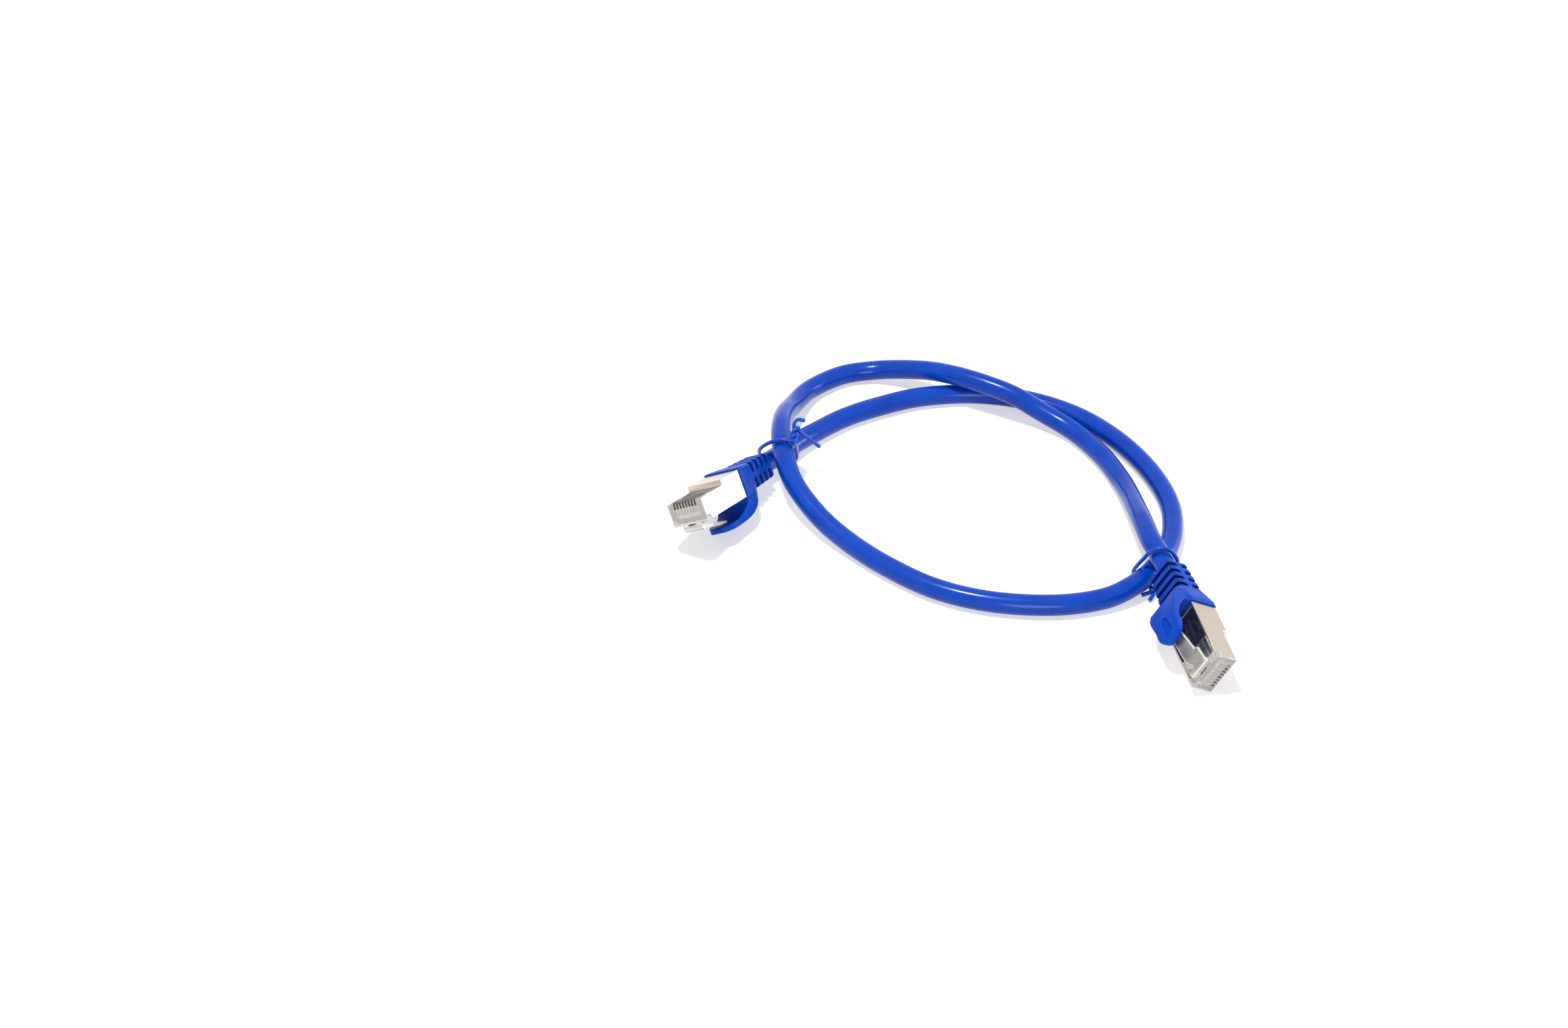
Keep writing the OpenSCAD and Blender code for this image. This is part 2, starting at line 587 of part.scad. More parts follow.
// Least distance between stretches of the cable that pass each other, less
// its diameter: no smaller than 0.4
cable_gap = min([for (i = [0 : len(cable_path) - 10], j = [i + 9 : len(cable_path) - 1])
    norm(cable_path[i] - cable_path[j])]) - cable_d;
echo(cable_gap = cable_gap);

function shown(name) = node == "all" || node == name;

if (shown("cable_jacket")) cable_jacket();
for (k = [0, 1]) {
    if (shown(str("twist_tie_", ENDS[k]))) twist_tie(k);
    if (shown(str("boot_", ENDS[k]))) at_plug(k) boot();
    if (shown(str("latch_cover_", ENDS[k]))) at_plug(k) latch_cover();
    if (shown(str("shield_shell_", ENDS[k]))) at_plug(k) shield_shell();
    if (shown(str("plug_housing_", ENDS[k]))) at_plug(k) plug_housing();
    if (shown(str("latch_", ENDS[k]))) at_plug(k) latch();
    if (shown(str("contacts_", ENDS[k]))) at_plug(k) contacts();
    if (shown(str("load_bar_", ENDS[k]))) at_plug(k) load_bar();
    if (shown(str("shield_braid_", ENDS[k]))) at_plug(k) shield_braid();
    for (i = [0 : contact_n - 1])
        if (shown(str("wire_", WIRES[i], "_", ENDS[k]))) at_plug(k) wire(i);
}
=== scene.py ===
"""Shielded RJ45 patch cable in one and a half loose turns: looks, camera and light."""

import math

import bmesh
import bpy
from mathutils import Euler, Matrix, Vector


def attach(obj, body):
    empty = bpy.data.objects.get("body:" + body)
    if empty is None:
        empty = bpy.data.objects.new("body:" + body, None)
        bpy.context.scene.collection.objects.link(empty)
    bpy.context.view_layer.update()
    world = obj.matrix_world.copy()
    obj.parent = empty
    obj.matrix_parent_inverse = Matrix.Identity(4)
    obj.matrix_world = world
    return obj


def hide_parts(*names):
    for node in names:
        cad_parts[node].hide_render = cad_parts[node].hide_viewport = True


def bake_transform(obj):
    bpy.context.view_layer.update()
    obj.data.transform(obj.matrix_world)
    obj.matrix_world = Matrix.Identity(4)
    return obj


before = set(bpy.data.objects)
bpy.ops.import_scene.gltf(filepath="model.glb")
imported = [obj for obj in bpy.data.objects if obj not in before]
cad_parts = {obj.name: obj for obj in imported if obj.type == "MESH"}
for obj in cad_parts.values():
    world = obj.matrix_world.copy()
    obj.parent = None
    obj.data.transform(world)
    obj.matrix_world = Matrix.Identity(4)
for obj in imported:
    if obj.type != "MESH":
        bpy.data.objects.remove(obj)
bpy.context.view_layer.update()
scene = bpy.context.scene
MM = 0.001

# ---------------------------------------------------------------- sizes
# These repeat the values of part.scad, in millimetres and degrees. A plug's own
# frame has +X to the nose, +Z to the latch, and its origin at the boot's rear.
CABLE_D = 5.8
TIE_D = 1.1
BOOT_L = 18.0
NOSE_X = 38.5
LATCH_FACE = 4.0
NOSE_H = 6.6
BOOT_REAR = (8.6, 7.3)
BOOT_MID = (9.8, 8.0)
GROOVE_END = 10.8
SLOT_L = 6.6
SLOT_DEPTH = 1.7
JACKET_END_X = 20.0
COVER_PIVOT = (15.6, 6.4)
COVER_ROOT_W = 11.2
# each end's place and turns about x, y and z
ENDS = {
    "a": ((-48.9, 44.08, 6.72), (-150, -13, -121)),
    "b": ((60.75, -8.22, 9.7), (62, 5, -78)),
}
# the cable's middle line from the back of boot b to the back of boot a
ROUTE = [
    (57.5, 5, 10.7), (56.5, 14, 9.9), (56, 23, 7.7), (55.5, 33, 5), (54, 43, 3.3),
    (50, 55, 3), (43, 67, 3.1), (34, 74, 5.2), (26, 78, 8.2), (18, 82, 9.4),
    (10, 86.5, 9.4), (2.5, 91.5, 7.9), (-5.5, 96, 5.5), (-14.5, 98.5, 3.5),
    (-24.5, 96.5, 3), (-34, 88.5, 3.3), (-39, 78, 5), (-41.5, 68.5, 8.2),
    (-42.5, 59, 10.7), (-42.5, 50, 11.3), (-41, 40.5, 10.2), (-38, 32, 8),
    (-31.5, 22, 5.2), (-23.5, 13, 3.4), (-13.5, 3, 3), (-1, -6.5, 3),
    (13.5, -12, 3), (30, -13.5, 3), (43.5, -11, 3.1), (52, -6.5, 4),
    (58, 0, 4.2), (62.5, 8, 3.4), (66, 19.5, 3), (66.5, 33, 3),
    (62.5, 48.5, 3), (55, 63, 3), (44.5, 75, 3), (31, 83, 3),
    (15.5, 86.5, 3), (-0.5, 85, 3), (-13.5, 80, 3), (-24, 74, 3),
    (-32, 67, 3.1), (-38, 60.5, 3.7)]
# each tie's twist, the loop round the cables and the two loose tails
TIES = {
    "a": dict(
        twist=((-39.1, 46.3, 14), (-38.3, 50.4, 16)), turns=1.25,
        loop=[(-41.8, 46, 14.9), (-44.6, 46.5, 14.1), (-47.2, 47.8, 11.8), (-48.7, 50, 8.6),
              (-48.6, 52.6, 5), (-46.8, 54, 2), (-44, 54.8, 0.85), (-41, 55, 0.65),
              (-38.6, 54, 2), (-38, 52.8, 5), (-38.1, 50.6, 8.5), (-38.3, 48.2, 11.5)],
        tails=([(-37, 49.8, 14.8), (-34.4, 50.4, 12), (-31.6, 51.2, 8.8)],
               [(-38.7, 51.4, 17.1), (-37.6, 52.4, 17.4), (-35.8, 52.4, 17)])),
    "b": dict(
        twist=((58.9, -4.6, 1.7), (57.2, -6.6, 1.4)), turns=0.75,
        loop=[(61.9, -4, 3), (63.9, -3.6, 6.6), (63.6, -3.3, 10.5), (61.6, -3.2, 13.4),
              (58.9, -3.3, 14.3), (56.4, -3, 12.9), (54.9, -2.2, 10), (53.7, -1.1, 7),
              (53, 0.2, 4), (53.3, 0.5, 1.6), (55, -1, 0.6), (57.2, -2.9, 0.7)],
        tails=([(57, -8, 1), (56.4, -8.8, 0.7)], [(55.6, -6.2, 0.9), (54.6, -6.4, 0.7)])),
}
# These are scene.py's own.
TIE_CORE_D = 0.42       # the bare wire in a tie
STRAND_R = TIE_D / 2 + 0.07
SLOTS_HALF_W = 4.0      # the eight contact slots together
NOSE_FRONT_L = 2.4      # the front of the clear nose, hazier and paler: painted light
CLEAR_OUT_L = 8.0       # further back, the clear plastic is inside the shell, where it is tinted dark: painted shade
GROOVE_SKIN = 0.32      # from the boot's outer face to where the groove's painted shade begins
EDGE_ANGLE = 32         # the least angle of an edge that is broken
SKIN_VOXEL = 0.14
SPECK_FACES = 400


def plug_matrix(end):
    """The plug's own frame, +X to the nose and +Z to the latch, in millimetres."""
    at, turn = ENDS[end]
    turn = Euler([math.radians(a) for a in turn], "XYZ")
    return Matrix.Translation(at) @ turn.to_matrix().to_4x4()


def on_axis(end, x):
    return plug_matrix(end) @ Vector((x, 0, 0))


def in_plug(end, x, y, z):
    """A point of the plug's own frame, in metres."""
    return plug_matrix(end) @ Vector((x, y, z)) * MM


# ---------------------------------------------------------------- camera
PHOTO_W = 2380
FOCAL_PX = 3743.6
SENSOR_MM = 36
CAMERA_AT = (-0.04175, -0.52412, 0.4182)
LOOK_DOWN = 37

cam = bpy.data.objects.new("camera", bpy.data.cameras.new("camera"))
scene.collection.objects.link(cam)
cam.location = CAMERA_AT
cam.rotation_euler = (math.radians(90 - LOOK_DOWN), 0, 0)
cam.data.sensor_width = SENSOR_MM
cam.data.lens = SENSOR_MM * FOCAL_PX / PHOTO_W
cam.data.clip_start = 0.01
scene.camera = cam


# ---------------------------------------------------------------- materials
class Nodes:
    """Short calls that add and link shader nodes."""

    def __init__(self, mat):
        self.tree = mat.node_tree
        self.bsdf = next(n for n in self.tree.nodes if n.type == "BSDF_PRINCIPLED")
        self.coord = self.add("ShaderNodeTexCoord").outputs["Object"]

    def add(self, kind, **inputs):
        node = self.tree.nodes.new(kind)
        for key, value in inputs.items():
            if hasattr(node, key) and key not in node.inputs:
                setattr(node, key, value)
            else:
                self.put(node.inputs[key], value)
        return node

    def put(self, socket, value):
        if isinstance(value, bpy.types.NodeSocket):
            self.tree.links.new(value, socket)
        elif hasattr(value, "__len__") and len(value) == 3 and len(socket.default_value) == 4:
            socket.default_value = (*value, 1)
        else:
            socket.default_value = value

    def noise(self, scale, detail=3, rough=0.5, vector=None):
        n = self.add("ShaderNodeTexNoise", Scale=scale, Detail=detail, Roughness=rough)
        self.put(n.inputs["Vector"], vector or self.coord)
        return n.outputs["Fac"]

    def ramp(self, fac, low, high, a=0.3, b=0.7):
        r = self.add("ShaderNodeValToRGB")
        self.put(r.inputs["Fac"], fac)
        for e, pos, c in zip(r.color_ramp.elements, (a, b), (low, high)):
            e.position = pos
            e.color = (*c, 1) if hasattr(c, "__len__") else (c, c, c, 1)
        return r.outputs["Color"]

    def span(self, fac, low, high):
        m = self.add("ShaderNodeMapRange")
        self.put(m.inputs["Value"], fac)
        m.inputs["To Min"].default_value = low
        m.inputs["To Max"].default_value = high
        return m.outputs["Result"]

    def bump(self, height, strength, distance, normal=None):
        b = self.add("ShaderNodeBump", Strength=strength, Distance=distance)
        self.put(b.inputs["Height"], height)
        if normal:
            self.put(b.inputs["Normal"], normal)
        return b.outputs["Normal"]


def material(name, color, rough, **sockets):
    """A material and its nodes. Sockets are named with _ for a space."""
    mat = bpy.data.materials.new(name)
    mat.use_nodes = True
    n = Nodes(mat)
    n.put(n.bsdf.inputs["Base Color"], color)
    n.bsdf.inputs["Roughness"].default_value = rough
    for key, value in sockets.items():
        n.put(n.bsdf.inputs[key.replace("_", " ")], value)
    mat.diffuse_color = (*color, 1)
    return mat, n


def plastic(name, deep, light, rough, grain, bump, clouds, coat=0.0):
    """Moulded or extruded PVC: clouded pigment, uneven gloss, fine surface grain.
    clouds and grain are noise scales, per metre."""
    mat, n = material(name, light, rough, Coat_Weight=coat, Coat_Roughness=0.12,
                      IOR=1.52, Specular_IOR_Level=0.12)
    n.put(n.bsdf.inputs["Base Color"], n.ramp(n.noise(clouds, 4), deep, light))
    gloss = n.noise(clouds * 2.3, 3)
    n.put(n.bsdf.inputs["Roughness"], n.span(gloss, rough - 0.06, rough + 0.08))
    fine = n.bump(n.noise(grain, 2, 0.6), bump, 0.00004)
    waves = n.bump(n.noise(grain * 0.12, 2), bump * 0.6, 0.00012, fine)
    n.put(n.bsdf.inputs["Normal"], waves)
    return mat


JACKET = plastic("jacket_pvc", (0.0, 0.042, 0.38), (0.0001, 0.060, 0.47),
                 0.24, grain=9000, bump=0.08, clouds=140, coat=0.2)
BOOT = plastic("boot_pvc", (0.0005, 0.048, 0.42), (0.002, 0.070, 0.52),
               0.42, grain=14000, bump=0.24, clouds=420)
# a darker copy of the boot PVC: painted shade in the boot's grooves
GROOVE_SHADE = plastic("boot_pvc_groove_painted_shade", (0.0001, 0.012, 0.11), (0.0004, 0.018, 0.15),
                 0.6, grain=14000, bump=0.2, clouds=420)
TIE = plastic("tie_coat", (0.0, 0.052, 0.46), (0.001, 0.080, 0.58),
              0.28, grain=12000, bump=0.12, clouds=700, coat=0.3)


def nickel():
    """Stamped shell: bright plate with a faint rolling grain and handling marks."""
    mat, n = material("nickel_plate", (0.60, 0.525, 0.45), 0.3, Metallic=1.0)
    tone = n.ramp(n.noise(5200, 2), (0.56, 0.49, 0.42), (0.64, 0.56, 0.48))
    n.put(n.bsdf.inputs["Base Color"], tone)
    grain = n.add("ShaderNodeMapping", Scale=(300, 9000, 9000))
    n.put(grain.inputs["Vector"], n.coord)
    rolled = n.noise(1, 2, 0.5, grain.outputs["Vector"])
    n.put(n.bsdf.inputs["Roughness"], n.span(n.noise(2600, 3), 0.24, 0.36))
    n.put(n.bsdf.inputs["Normal"], n.bump(rolled, 0.08, 0.00003))
    return mat


def clear_plastic(name, haze, rough=0.08, color=(0.97, 0.945, 0.91), flow=0.12):
    """Polycarbonate: clear with a warm haze and flow marks, which are deeper
    where flow is strong."""
    mat, n = material(name, color, rough, Transmission_Weight=1 - haze, IOR=1.585)
    depth = 0.00006 if flow < 0.2 else 0.0004
    n.put(n.bsdf.inputs["Normal"], n.bump(n.noise(1400, 2), flow, depth))
    n.put(n.bsdf.inputs["Roughness"], n.span(n.noise(2200, 3), rough * 0.5, rough * 1.9))
    return mat


def gold():
    """Contact plating with a slightly uneven colour and gloss."""
    mat, n = material("gold_plate", (0.92, 0.62, 0.20), 0.22, Metallic=1.0)
    tone = n.ramp(n.noise(2600, 3), (0.80, 0.50, 0.15), (1.0, 0.74, 0.32))
    n.put(n.bsdf.inputs["Base Color"], tone)
    n.put(n.bsdf.inputs["Roughness"], n.span(n.noise(4000, 2), 0.15, 0.32))
    return mat


def braid():
    """Tinned braid: two crossed wave patterns as ridges, darker where the first pattern is low:
    painted shade between the strands.
    """
    mat, n = material("tinned_braid", (0.5, 0.51, 0.53), 0.38, Metallic=1.0)
    crossed = n.add("ShaderNodeMapping", Rotation=(0, 0, math.pi / 2))
    n.put(crossed.inputs["Vector"], n.coord)
    ridges = []
    for vector in (n.coord, crossed.outputs["Vector"]):
        wave = n.add("ShaderNodeTexWave", Scale=1100.0, Distortion=1.0,
                     bands_direction="DIAGONAL")
        n.put(wave.inputs["Vector"], vector)
        ridges.append(wave.outputs["Fac"])
    under = n.bump(ridges[1], 0.5, 0.0001)
    n.put(n.bsdf.inputs["Normal"], n.bump(ridges[0], 0.5, 0.0001, under))
    # darker where the ridges are low: painted shade between the strands
    tone = n.ramp(ridges[0], (0.35, 0.36, 0.38), (0.62, 0.63, 0.65))
    n.put(n.bsdf.inputs["Base Color"], tone)
    return mat


def wire_coat(name, color, stripe=None):
    """Wire insulation, with rings of the pair's colour on the pale wires."""
    mat, n = material(name, color, 0.42)
    tone = n.ramp(n.noise(1500, 3), tuple(c * 0.82 for c in color), color)
    if stripe:
        w = n.add("ShaderNodeTexWave", Scale=330.0, bands_direction="Y")
        n.put(w.inputs["Vector"], n.coord)
        mix = n.add("ShaderNodeMix", data_type="RGBA")
        n.put(mix.inputs[0], n.ramp(w.outputs["Fac"], 0.0, 1.0, 0.78, 0.84))
        n.put(mix.inputs[6], tone)
        n.put(mix.inputs[7], stripe)
        tone = mix.outputs[2]
    n.put(n.bsdf.inputs["Base Color"], tone)
    n.put(n.bsdf.inputs["Normal"], n.bump(n.noise(9000, 2), 0.1, 0.00003))
    return mat


PALE = (0.80, 0.78, 0.72)
WIRE_MATS = {}
for pair, hue in (("orange", (0.80, 0.20, 0.02)), ("green", (0.02, 0.30, 0.08)),
                  ("blue", (0.02, 0.08, 0.50)), ("brown", (0.16, 0.06, 0.02))):
    WIRE_MATS[pair] = wire_coat("wire_" + pair, hue)
    WIRE_MATS["white_" + pair] = wire_coat("wire_white_" + pair, PALE, hue)
NICKEL = nickel()
CLEAR = clear_plastic("clear_polycarbonate", 0.04)
# a dark-tinted copy of the clear plastic: painted shade inside the shell
SHADED_INNER_CLEAR = clear_plastic("clear_in_shell_painted_shade", 0.03, color=(0.30, 0.32, 0.42))
# a hazier, paler copy of the clear plastic: painted light on the nose front
LIT_NOSE_CLEAR = clear_plastic("clear_nose_painted_light", 0.38, 0.04, (1.0, 0.97, 0.94), flow=0.45)
# a near-opaque pale copy of the clear plastic: painted highlight on the edges
EDGE_HIGHLIGHT_CLEAR = clear_plastic("clear_edge_painted_highlight", 0.85, 0.2)
# a dark copy of the clear plastic: painted shade in the deep slots and the slit under the latch
PAINTED_SHADE_CLEAR = clear_plastic("clear_painted_shade", 0.7, 0.3, (0.15, 0.142, 0.135))
GOLD = gold()
BRAID = braid()
STEEL = material("tie_core_steel", (0.55, 0.56, 0.58), 0.35, Metallic=1.0)[0]


# ---------------------------------------------------------------- cable and ties
def add(name, data, mat, body="cord_set"):
    """A new piece of one material that rides on a body."""
    obj = bpy.data.objects.new(name, data)
    scene.collection.objects.link(obj)
    data.materials.clear()
    data.materials.append(mat)
    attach(obj, body)
    return obj


def round_line(name, points, d, mat, steps, sides):
    """A round line along points in millimetres, with the handles of the
    uniform Catmull-Rom curve that part.scad sweeps its tubes along."""
    data = bpy.data.curves.new(name, "CURVE")
    data.dimensions = "3D"
    data.resolution_u = steps
    data.bevel_depth = d / 2 * MM
    data.bevel_resolution = sides
    data.use_fill_caps = True
    data.twist_mode = "MINIMUM"
    spline = data.splines.new("BEZIER")
    spline.bezier_points.add(len(points) - 1)
    pts = [Vector(p) for p in points]
    for i, (bp, p) in enumerate(zip(spline.bezier_points, pts)):
        step = (pts[min(i + 1, len(pts) - 1)] - pts[max(i - 1, 0)]) / 6
        bp.co = p * MM
        bp.handle_left_type = bp.handle_right_type = "FREE"
        bp.handle_left = (p - step) * MM
        bp.handle_right = (p + step) * MM
    obj = add(name, data, mat)
    obj["length_m"] = spline.calc_length()
    return obj


cable_points = ([on_axis("b", x) for x in (JACKET_END_X, -4, -8)] + ROUTE
                + [on_axis("a", x) for x in (-9, -4, JACKET_END_X)])
cable = round_line("cable", cable_points, CABLE_D, JACKET, 10, 8)
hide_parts("cable_jacket")


def strand(p, q, turns, start):
    """One strand of a tie's twist, from p to q, with its start angle in degrees."""
    p, q = Vector(p), Vector(q)
    t = (q - p).normalized()
    u = Vector((0, 0, 1)).cross(t).normalized()
    v = t.cross(u)
    n = math.ceil(turns * 6)
    out = []
    for i in range(n + 1):
        a = math.radians(start) + 2 * math.pi * turns * i / n
        out.append(p + (q - p) * i / n + STRAND_R * (math.cos(a) * u + math.sin(a) * v))
    return out


for end, tie in TIES.items():
    p, q = tie["twist"]
    line = (tie["tails"][0][::-1] + strand(p, q, tie["turns"], 90)[::-1] + tie["loop"]
            + strand(p, q, tie["turns"], 270) + tie["tails"][1])
    obj = round_line("twist_tie_%s_wire" % end, line, TIE_D, TIE, 8, 5)
    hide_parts("twist_tie_" + end)
    for k, (tip, before) in enumerate(((line[0], line[1]), (line[-1], line[-2]))):
        tip, before = Vector(tip), Vector(before)
        away = (tip - before).normalized()
        core = round_line("tie_core_%s%d" % (end, k), [tip - away * 0.5, tip + away * 0.06],
                          TIE_CORE_D, STEEL, 2, 3)


# ---------------------------------------------------------------- plugs
def eased(node, body, mat, width, segments=2):
    """A copy of the CAD solid in place of it, with its edges broken by width mm."""
    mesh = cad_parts[node].data.copy()
    bm = bmesh.new()
    bm.from_mesh(mesh)
    bmesh.ops.remove_doubles(bm, verts=bm.verts, dist=2e-7)
    bmesh.ops.dissolve_degenerate(bm, dist=1e-7, edges=bm.edges)
    bmesh.ops.dissolve_limit(bm, angle_limit=math.radians(0.6), verts=bm.verts, edges=bm.edges)
    bmesh.ops.recalc_face_normals(bm, faces=bm.faces)
    bm.to_mesh(mesh)
    bm.free()
    for poly in mesh.polygons:
        poly.use_smooth = True
    mesh.set_sharp_from_angle(angle=math.radians(EDGE_ANGLE))
    obj = add(node + "_eased", mesh, mat, body)
    mod = obj.modifiers.new("edges", "BEVEL")
    mod.width = width * MM
    mod.segments = segments
    mod.limit_method = "ANGLE"
    mod.angle_limit = math.radians(EDGE_ANGLE)
    mod.use_clamp_overlap = True
    mod.miter_outer = "MITER_ARC"
    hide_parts(node)
    return obj


def repaint(obj, end, rules):
    """Gives faces another material where a rule, a test of the face's middle and
    normal in the plug's own frame (mm), holds. The first rule that holds counts."""
    frame_in = plug_matrix(end).inverted()
    turn = frame_in.to_3x3()
    for mat, _ in rules:
        obj.data.materials.append(mat)
    for poly in obj.data.polygons:
        at, way = frame_in @ (poly.center / MM), turn @ poly.normal
        for i, (_, holds) in enumerate(rules):
            if holds(at, way):
                poly.material_index = i + 1
                break


def in_groove_shade(at, way):
    """Groove floors and the inner part of the groove walls, which get painted shade."""
    k = at.x / GROOVE_END
    half_w, half_h = (((1 - k) * rear + k * mid) / 2 - GROOVE_SKIN
                      for rear, mid in zip(BOOT_REAR, BOOT_MID))
    return (0.6 < at.x < GROOVE_END and abs(at.y) < half_w and abs(at.z) < half_h
            and math.hypot(at.y, at.z) > CABLE_D / 2 + 0.1)


def in_slot_shade(at, way):
    """Walls and ends of the eight contact slots, and of the slit under the latch, which get
    painted shade.
    """
    floor_z = LATCH_FACE - NOSE_H
    slot = (NOSE_X - SLOT_L - 0.1 < at.x < NOSE_X - 0.05 and abs(at.y) < SLOTS_HALF_W
            and floor_z + 0.02 < at.z < floor_z + SLOT_DEPTH + 0.05)
    slit = LATCH_FACE < at.z < LATCH_FACE + 0.41 and abs(at.y) < 1.35 and abs(way.x) < 0.5
    return slot or slit


def in_lit_nose(at, way):
    return at.x > NOSE_X - NOSE_FRONT_L


def in_shell_shade(at, way):
    return at.x < NOSE_X - CLEAR_OUT_L


def is_highlit_side(at, way):
    """The narrow faces of the latch lever, which get the painted highlight."""
    return abs(way.y) > 0.4 or abs(way.z) < 0.6


def is_nowhere(at, way):
    """For the painted edge highlight, which only the bevel's faces get."""
    return False


def drop_specks(mesh):
    """Deletes the loose specks that a remesh leaves, and closes what stays open."""
    bm = bmesh.new()
    bm.from_mesh(mesh)
    seen, specks = set(), []
    for first in bm.faces:
        if first in seen:
            continue
        seen.add(first)
        island, queue = [first], [first]
        while queue:
            for edge in queue.pop().edges:
                for face in edge.link_faces:
                    if face not in seen:
                        seen.add(face)
                        island.append(face)
                        queue.append(face)
        if len(island) < SPECK_FACES:
            specks += island
    bmesh.ops.delete(bm, geom=specks, context="FACES")
    bmesh.ops.holes_fill(bm, edges=[e for e in bm.edges if e.is_boundary], sides=0)
    bmesh.ops.triangulate(bm, faces=[f for f in bm.faces if len(f.verts) > 3])
    bm.to_mesh(mesh)
    bm.free()


def moulding(end):
    """Boot and latch cover as the one soft moulding that they are: the cover's root is closed and
    every edge is rounded."""
    nodes = ("boot_" + end, "latch_cover_" + end)
    bm = bmesh.new()
    for node in nodes:
        bm.from_mesh(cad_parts[node].data)
    x, z = COVER_PIVOT
    # a block that fills the slit round the cover's root, as a side outline
    rim = [(x - 2.6, z - 0.5), (x - 2.3, z + 0.6), (x, z + 1), (x + 1.9, z - 0.4),
           (BOOT_L - 0.3, LATCH_FACE + 0.5), (BOOT_L - 0.3, LATCH_FACE + 0.15),
           (x - 2.2, LATCH_FACE + 0.15)]
    half = COVER_ROOT_W / 2 - 0.05
    sides = [[bm.verts.new(in_plug(end, px, y, pz)) for px, pz in rim] for y in (-half, half)]
    bm.faces.new(sides[0])
    bm.faces.new(sides[1][::-1])
    for i in range(len(rim)):
        j = (i + 1) % len(rim)
        bm.faces.new((sides[0][j], sides[0][i], sides[1][i], sides[1][j]))
    mesh = bpy.data.meshes.new("boot_moulding_" + end)
    bm.to_mesh(mesh)
    bm.free()
    mesh.materials.append(BOOT)
    obj = bpy.data.objects.new(mesh.name, mesh)
    scene.collection.objects.link(obj)
    skin = obj.modifiers.new("skin", "REMESH")
    skin.mode = "VOXEL"
    skin.voxel_size = SKIN_VOXEL * MM
    skin.use_smooth_shade = True
    soft = obj.modifiers.new("soft", "SMOOTH")
    soft.factor = 0.5
    soft.iterations = 5
    light = obj.modifiers.new("light", "DECIMATE")
    light.ratio = 0.3
    graph = bpy.context.evaluated_depsgraph_get()
    obj.data = bpy.data.meshes.new_from_object(obj.evaluated_get(graph))
    obj.modifiers.clear()
    drop_specks(obj.data)
    # the grooves get a darker copy of the boot PVC: painted shade
    repaint(obj, end, [(GROOVE_SHADE, in_groove_shade)])
    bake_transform(obj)
    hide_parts(*nodes)


def paint(node, mat):
    """Gives a CAD node that stays as it is its material."""
    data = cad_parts[node].data
    data.materials.clear()
    data.materials.append(mat)
    for poly in data.polygons:
        poly.material_index = 0


for end in ENDS:
    moulding(end)
    eased("shield_shell_" + end, "cord_set", NICKEL, 0.10)
    body = eased("plug_housing_" + end, "cord_set", CLEAR, 0.12, segments=1)
    # the clear plastic inside the shell gets painted shade
    # the nose front gets painted light
    # the slots and the slit under the latch get painted shade
    repaint(body, end, [(PAINTED_SHADE_CLEAR, in_slot_shade), (LIT_NOSE_CLEAR, in_lit_nose),
                        (SHADED_INNER_CLEAR, in_shell_shade), (EDGE_HIGHLIGHT_CLEAR, is_nowhere)])
    # the bevel's faces get the pale clear plastic: a painted highlight along the edges
    body.modifiers["edges"].material = len(body.data.materials) - 1
    lever = eased("latch_" + end, "lever_" + end, CLEAR, 0.15)
    # the lever's narrow faces get the pale clear plastic: a painted highlight
    repaint(lever, end, [(EDGE_HIGHLIGHT_CLEAR, is_highlit_side)])
    paint("contacts_" + end, GOLD)
    paint("load_bar_" + end, CLEAR)
    paint("shield_braid_" + end, BRAID)
    for wire, mat in WIRE_MATS.items():
        paint("wire_%s_%s" % (wire, end), mat)

# ---------------------------------------------------------------- floor and light
WHITE = (1, 1, 1, 1)
FLOOR_HALF = 4.0


def seen_directly(tree):
    """1 for a ray from the camera, or one by way of gloss or clear plastic."""
    path = tree.nodes.new("ShaderNodeLightPath")
    out = path.outputs["Is Camera Ray"]
    for kind in ("Is Glossy Ray", "Is Transmission Ray"):
        either = tree.nodes.new("ShaderNodeMath")
        either.operation = "MAXIMUM"
        tree.links.new(out, either.inputs[0])
        tree.links.new(path.outputs[kind], either.inputs[1])
        out = either.outputs[0]
    return out


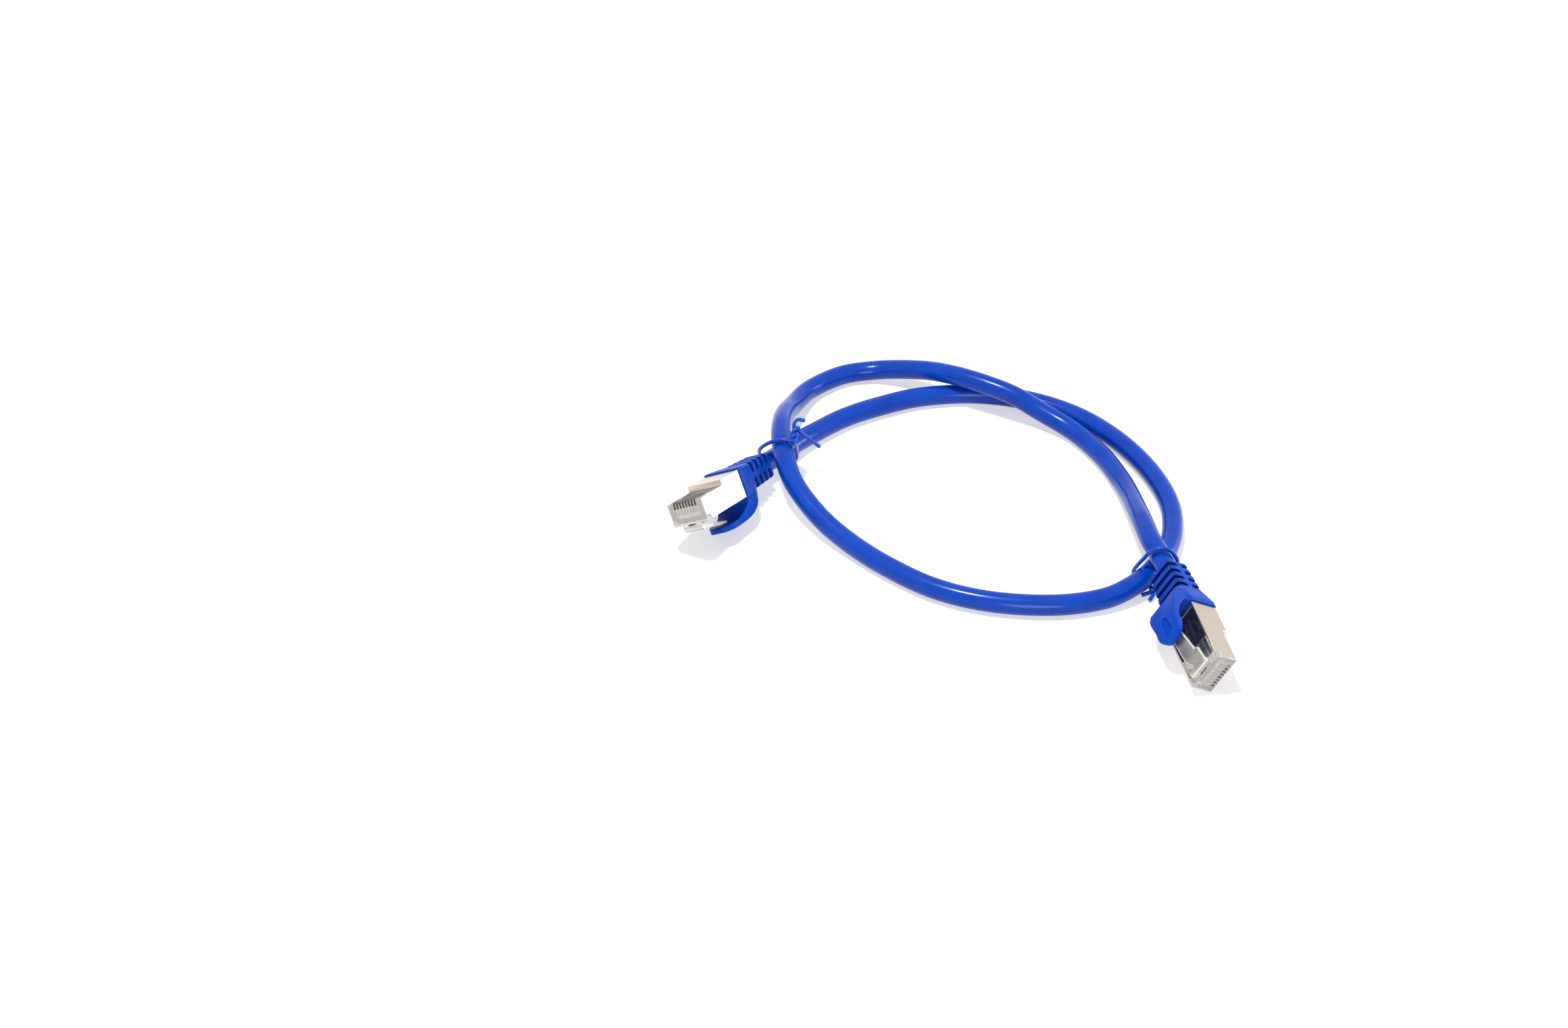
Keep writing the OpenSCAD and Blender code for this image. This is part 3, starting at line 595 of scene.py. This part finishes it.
def white_floor():
    """A pale floor that keeps the object's shadow and looks white beside it."""
    mat = bpy.data.materials.new("floor_white")
    mat.use_nodes = True
    tree = mat.node_tree
    bsdf = tree.nodes["Principled BSDF"]
    bsdf.inputs["Base Color"].default_value = (0.72, 0.72, 0.72, 1)
    bsdf.inputs["Roughness"].default_value = 0.7
    bsdf.inputs["Specular IOR Level"].default_value = 0.1
    glow = tree.nodes.new("ShaderNodeEmission")
    glow.inputs["Color"].default_value = WHITE
    # the far floor gets less lamp light, so it glows a little more
    coord = tree.nodes.new("ShaderNodeTexCoord")
    reach = tree.nodes.new("ShaderNodeVectorMath")
    reach.operation = "LENGTH"
    fade = tree.nodes.new("ShaderNodeMapRange")
    for name, value in (("From Min", 0.18), ("From Max", 0.9), ("To Min", 0.52), ("To Max", 0.80)):
        fade.inputs[name].default_value = value
    lift = tree.nodes.new("ShaderNodeMath")
    lift.operation = "MULTIPLY"
    both = tree.nodes.new("ShaderNodeAddShader")
    tree.links.new(coord.outputs["Object"], reach.inputs[0])
    tree.links.new(reach.outputs["Value"], fade.inputs["Value"])
    tree.links.new(seen_directly(tree), lift.inputs[0])
    tree.links.new(fade.outputs["Result"], lift.inputs[1])
    tree.links.new(lift.outputs[0], glow.inputs["Strength"])
    tree.links.new(bsdf.outputs[0], both.inputs[0])
    tree.links.new(glow.outputs[0], both.inputs[1])
    tree.links.new(both.outputs[0], tree.nodes["Material Output"].inputs["Surface"])
    return mat


floor_mesh = bpy.data.meshes.new("floor")
corners = [(x * FLOOR_HALF, y * FLOOR_HALF, 0) for x, y in ((-1, -1), (1, -1), (1, 1), (-1, 1))]
floor_mesh.from_pydata(corners, [], [(0, 1, 2, 3)])
floor_mesh.materials.append(white_floor())
floor = bpy.data.objects.new("floor", floor_mesh)
floor.location.z = -0.00002
scene.collection.objects.link(floor)

world = bpy.data.worlds.new("studio")
scene.world = world
world.use_nodes = True
tree = world.node_tree
lighting = tree.nodes["Background"]
lighting.inputs["Color"].default_value = WHITE
lighting.inputs["Strength"].default_value = 0.30
backdrop = tree.nodes.new("ShaderNodeBackground")
backdrop.inputs["Color"].default_value = WHITE
backdrop.inputs["Strength"].default_value = 1.0
mix = tree.nodes.new("ShaderNodeMixShader")
tree.links.new(seen_directly(tree), mix.inputs[0])
tree.links.new(lighting.outputs[0], mix.inputs[1])
tree.links.new(backdrop.outputs[0], mix.inputs[2])
tree.links.new(mix.outputs[0], tree.nodes["World Output"].inputs["Surface"])


def area(name, at, target, size, power):
    """A round soft lamp of a size in metres and a power in watts."""
    data = bpy.data.lights.new(name, "AREA")
    data.shape = "DISK"
    data.size = size
    data.energy = power
    obj = bpy.data.objects.new(name, data)
    scene.collection.objects.link(obj)
    obj.location = at
    obj.rotation_euler = (Vector(target) - Vector(at)).to_track_quat("-Z", "Y").to_euler()


area("key", (-0.16, -0.02, 0.80), (0.0, 0.03, 0.0), 0.13, 5.6)
area("fill", (0.04, -0.66, 0.24), (0.0, 0.0, 0.0), 0.30, 1.5)
area("side", (0.50, 0.16, 0.09), (0.0, 0.03, 0.01), 0.22, 1.0)

scene.view_settings.view_transform = "Standard"
